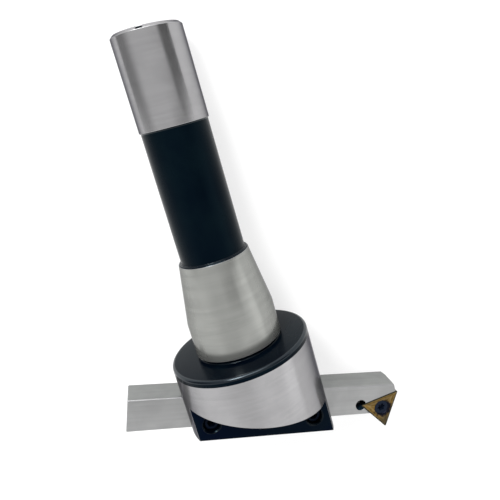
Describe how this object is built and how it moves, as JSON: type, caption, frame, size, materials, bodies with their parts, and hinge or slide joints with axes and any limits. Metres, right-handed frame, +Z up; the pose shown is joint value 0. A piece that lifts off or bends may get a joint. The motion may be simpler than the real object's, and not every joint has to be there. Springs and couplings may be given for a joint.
{
  "type": "fly cutter",
  "caption": "Fly cutter with a tapered spindle shank, a slanted round head and a clamped square bar that carries a triangular cutting insert.",
  "frame": {"origin": "middle of the base of the bounding box, on the table under the tool as it lies on its back", "axes": "+Z up from the table, +Y the way the shank points along the table, +X across, from the bar's tail to the insert. The shank's top dips 6.6 degrees below +Y, and the tool is rolled 20.6 degrees about the spindle axis, onto the bar's nose."},
  "size_m": [0.0998, 0.1744, 0.0524],
  "materials": {
    "ground_steel": "ground bright on the top land, taper, neck and head rim, blackened between them",
    "bar_steel": "satin ground",
    "coated_carbide": "gold-coloured hard coating",
    "dark_screw": "blackened",
    "clamp_screw_steel": "blackened"
  },
  "bodies": {
    "head_and_shank": {"cutter_body": "ground_steel", "clamp_screw_1": "clamp_screw_steel", "clamp_screw_2": "clamp_screw_steel", "clamp_screw_3": "clamp_screw_steel"},
    "tool_bar": {"toolholder_bar": "bar_steel", "cutting_insert": "coated_carbide", "insert_screw": "dark_screw"}
  },
  "joints": [
    {"name": "bar_slide", "type": "slide", "parent": "head_and_shank", "child": "tool_bar", "axis": [0.8842, -0.365, -0.2913], "range_m": [-0.014, 0.02]}
  ]
}
